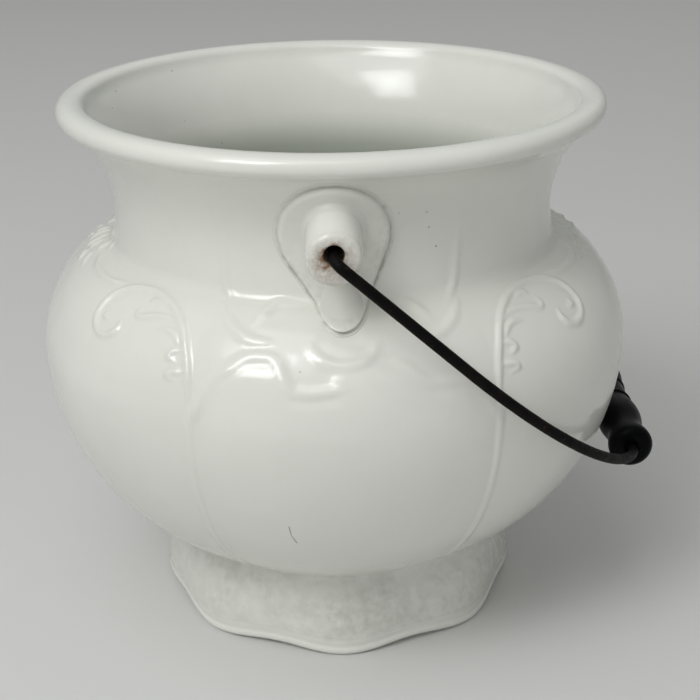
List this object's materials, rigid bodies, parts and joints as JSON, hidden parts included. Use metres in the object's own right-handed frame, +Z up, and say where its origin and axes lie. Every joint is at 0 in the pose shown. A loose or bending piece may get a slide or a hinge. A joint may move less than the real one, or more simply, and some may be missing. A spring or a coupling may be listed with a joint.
{
  "type": "slop jar",
  "caption": "Wide-necked white ceramic slop jar with a lobed, ribbed belly, a scalloped foot and lugs that carry a swinging wire bail with a turned black wooden grip.",
  "frame": {"origin": "on the jar's axis, on the plane that the foot stands on", "axes": "+Z up along the jar's axis; the lugs stand at -Y and +Y; the bail hangs down on the +X side at rest"},
  "size_m": [0.292, 0.2846, 0.254],
  "materials": {
    "glazed_ceramic": "glossy white lead glaze, slightly cool, worn and specked",
    "iron_wire": "dark oxidised iron wire, slightly rusty",
    "black_wood": "black painted turned wood, worn gloss"
  },
  "bodies": {
    "jar": {"jar_body": "glazed_ceramic", "foot": "glazed_ceramic", "lug_front": "glazed_ceramic", "lug_back": "glazed_ceramic"},
    "bail": {"bail_wire": "iron_wire"},
    "grip": {"grip": "black_wood"}
  },
  "joints": [
    {"name": "bail_swing", "type": "hinge", "parent": "jar", "child": "bail", "pos_m": [0, 0, 0.21565], "axis": [0, -1, 0], "range_deg": [0, 262.9]},
    {"name": "grip_spin", "type": "hinge", "parent": "bail", "child": "grip", "pos_m": [0.14049, 0, 0.09148], "axis": [0, 1, 0], "continuous": true}
  ]
}
